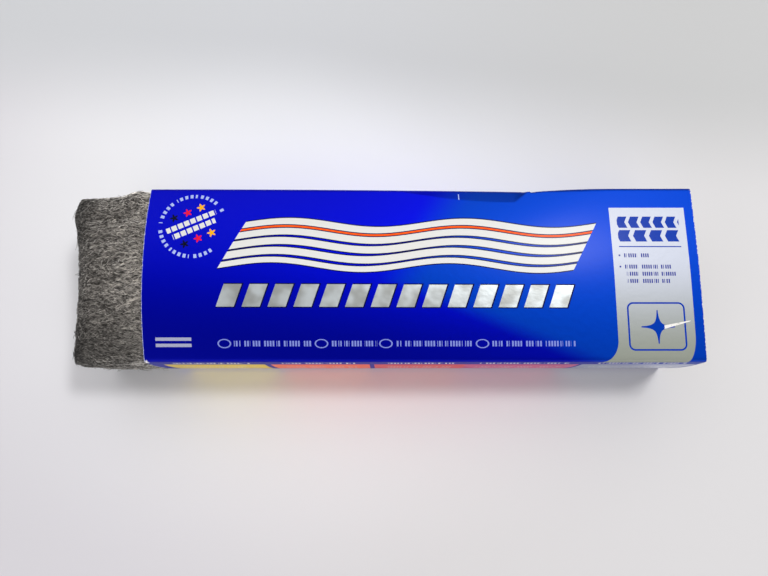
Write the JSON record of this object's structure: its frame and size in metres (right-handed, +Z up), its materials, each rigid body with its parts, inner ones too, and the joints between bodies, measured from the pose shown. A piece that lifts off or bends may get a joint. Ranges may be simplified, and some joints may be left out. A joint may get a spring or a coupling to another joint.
{
  "type": "steel wool pad",
  "caption": "Long block of folded fine steel wool in an open-ended printed card sleeve, drawn out of one end by about 38 mm.",
  "frame": {"origin": "on the table, under the middle of the whole pack", "axes": "+X along the pad towards the sleeve's far mouth, -Y towards the front wall, +Z up"},
  "size_m": [0.2996, 0.0873, 0.0558],
  "materials": {
    "steel_wool": "satin",
    "printed_card": "gloss"
  },
  "bodies": {
    "root": {"wool_pad": "steel_wool", "card_sleeve": "printed_card"}
  },
  "joints": []
}
